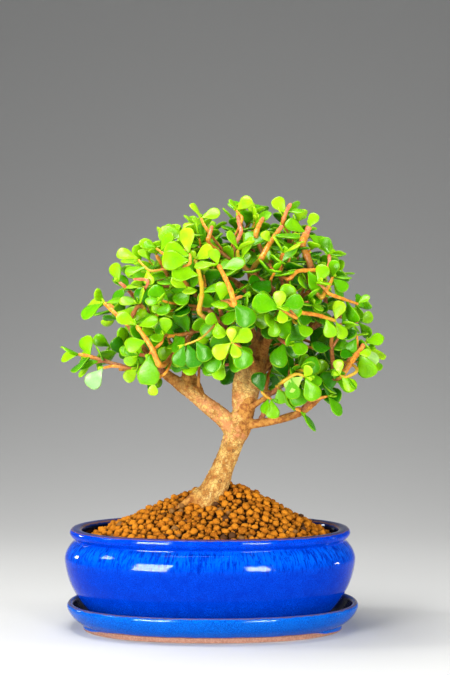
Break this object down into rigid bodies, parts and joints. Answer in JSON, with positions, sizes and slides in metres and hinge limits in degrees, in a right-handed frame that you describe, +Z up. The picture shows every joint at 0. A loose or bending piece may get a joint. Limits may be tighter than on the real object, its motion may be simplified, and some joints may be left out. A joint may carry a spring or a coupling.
{
  "type": "money tree bonsai",
  "caption": "Small leaning tree with a round crown of fleshy leaves, standing in a mound of baked clay grit in an oval blue glazed pot on its matching saucer.",
  "frame": {"origin": "on the surface it stands on, under the middle of the pot: a point of the saucer's flat underside", "axes": "+Z up, +X along the pot's long way and towards the side the trunk leans to, -Y the front"},
  "size_m": [0.2363, 0.1892, 0.3129],
  "materials": {
    "saucer_glaze": "gloss blue glaze with brown breaks along the rim, and a bare pinkish clay foot",
    "pot_glaze": "deep cobalt gloss glaze, lighter and streaked under the rim, brown where it breaks on the rim's edges",
    "screen_plastic": "black plastic mesh",
    "grit_clay": "matt orange-brown baked clay grains",
    "bark": "flaking tan and ochre bark, red-brown on the young twigs",
    "foliage": "fleshy bright green leaves with a soft shine, on orange-red young stems"
  },
  "bodies": {
    "root": {"saucer": "saucer_glaze", "pot": "pot_glaze", "drain_screen_left": "screen_plastic", "drain_screen_right": "screen_plastic", "grit": "grit_clay", "trunk_and_limbs": "bark", "spray_01": "foliage", "spray_02": "foliage", "spray_03": "foliage", "spray_04": "foliage", "spray_05": "foliage", "spray_06": "foliage", "spray_07": "foliage", "spray_08": "foliage", "spray_09": "foliage", "spray_10": "foliage", "spray_11": "foliage", "spray_12": "foliage", "spray_13": "foliage", "spray_14": "foliage", "spray_15": "foliage", "spray_16": "foliage", "spray_17": "foliage", "spray_18": "foliage", "spray_19": "foliage", "spray_20": "foliage", "spray_21": "foliage", "spray_22": "foliage", "spray_23": "foliage", "spray_24": "foliage", "spray_25": "foliage", "spray_26": "foliage", "spray_27": "foliage", "spray_28": "foliage", "spray_29": "foliage", "spray_30": "foliage", "spray_31": "foliage", "spray_32": "foliage", "spray_33": "foliage", "spray_34": "foliage", "spray_35": "foliage", "spray_36": "foliage", "spray_37": "foliage", "spray_38": "foliage", "spray_39": "foliage", "spray_40": "foliage", "spray_41": "foliage", "spray_42": "foliage", "spray_43": "foliage", "spray_44": "foliage", "spray_45": "foliage", "spray_46": "foliage"}
  },
  "joints": []
}
